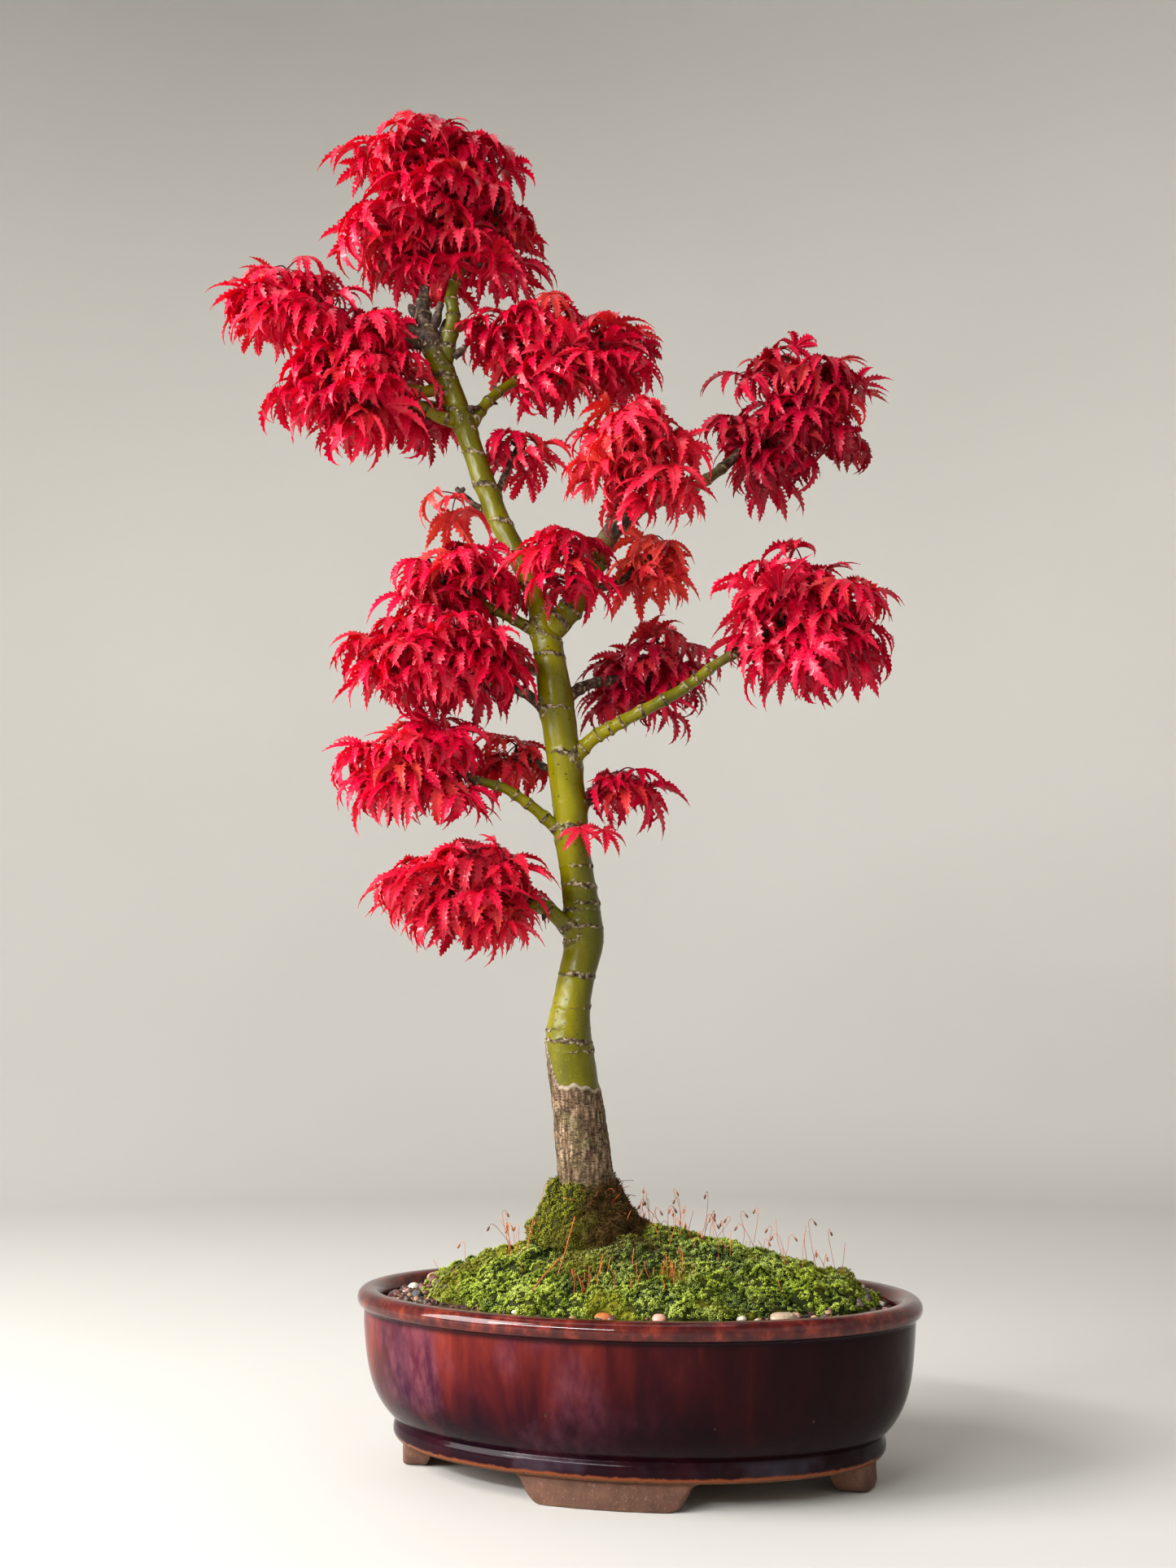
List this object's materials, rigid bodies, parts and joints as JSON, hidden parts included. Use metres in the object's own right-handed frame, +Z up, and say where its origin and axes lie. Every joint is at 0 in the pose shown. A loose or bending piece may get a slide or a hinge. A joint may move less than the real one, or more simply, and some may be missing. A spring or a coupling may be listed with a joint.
{
  "type": "potted bonsai tree",
  "caption": "Red-leaved Japanese maple bonsai with a grafted, gently bent trunk and tiered foliage pads, planted under moss in an oval glazed pot on feet.",
  "frame": {"origin": "on the surface that the feet stand on, under the middle of the bounding box of tree and pot", "axes": "+Z up, +X along the pot's long axis to the right, -Y towards the viewer; the tree's front view is turned 13 degrees from the pot's long side"},
  "size_m": [0.3598, 0.196, 0.73],
  "materials": {
    "pot_glaze": "gloss",
    "screen_plastic": "matte",
    "clip_wire": "satin",
    "rootstock_bark": "matte",
    "green_bark": "satin",
    "soil": "matte",
    "cushion_moss": "matte",
    "collar_moss": "matte",
    "pebble_tan": "satin",
    "pebble_amber": "satin",
    "pebble_slate": "satin",
    "pebble_pink": "satin",
    "pebble_speckled": "matte",
    "pebble_grey": "matte",
    "red_leaves": "satin"
  },
  "bodies": {
    "root": {"pot": "pot_glaze", "drainage_mesh_left": "screen_plastic", "mesh_clip_left": "clip_wire", "drainage_mesh_right": "screen_plastic", "mesh_clip_right": "clip_wire", "rootstock": "rootstock_bark", "trunk": "green_bark", "branch_first_left": "green_bark", "branch_second_left": "green_bark", "branch_low_right": "green_bark", "branch_third_left": "green_bark", "branch_rear_right": "green_bark", "branch_fourth_left": "green_bark", "leader_right": "green_bark", "branch_upper_left": "green_bark", "branch_upper_left_under": "green_bark", "branch_top_left": "green_bark", "branch_upper_right": "green_bark", "apex_left": "green_bark", "apex_right": "green_bark", "branch_back_low": "green_bark", "branch_back_middle": "green_bark", "branch_back_high": "green_bark", "shoot_high_right": "green_bark", "shoot_high_left": "green_bark", "shoot_low_rear": "green_bark", "shoot_low_right": "green_bark", "pebble_tan": "pebble_tan", "pebble_amber": "pebble_amber", "pebble_slate": "pebble_slate", "pebble_pink": "pebble_pink", "pebble_speckled": "pebble_speckled", "pebble_grey": "pebble_grey", "moss_collar": "collar_moss", "moss_front": "cushion_moss", "moss_right": "cushion_moss", "moss_back": "cushion_moss", "moss_left": "cushion_moss", "soil": "soil", "foliage_crown": "red_leaves", "foliage_upper_left": "red_leaves", "foliage_upper_left_tip": "red_leaves", "foliage_upper_right": "red_leaves", "foliage_leader_front": "red_leaves", "foliage_leader_tip": "red_leaves", "foliage_second_tier_left": "red_leaves", "foliage_third_tier_left": "red_leaves", "foliage_low_right": "red_leaves", "foliage_rear_right": "red_leaves", "foliage_inner_front": "red_leaves", "foliage_inner_right": "red_leaves", "foliage_second_left": "red_leaves", "foliage_first_left": "red_leaves", "foliage_high_right": "red_leaves", "foliage_high_left": "red_leaves", "foliage_low_rear": "red_leaves", "foliage_low_right_small": "red_leaves", "foliage_back_low": "red_leaves", "foliage_back_middle": "red_leaves", "foliage_back_high": "red_leaves"}
  },
  "joints": []
}
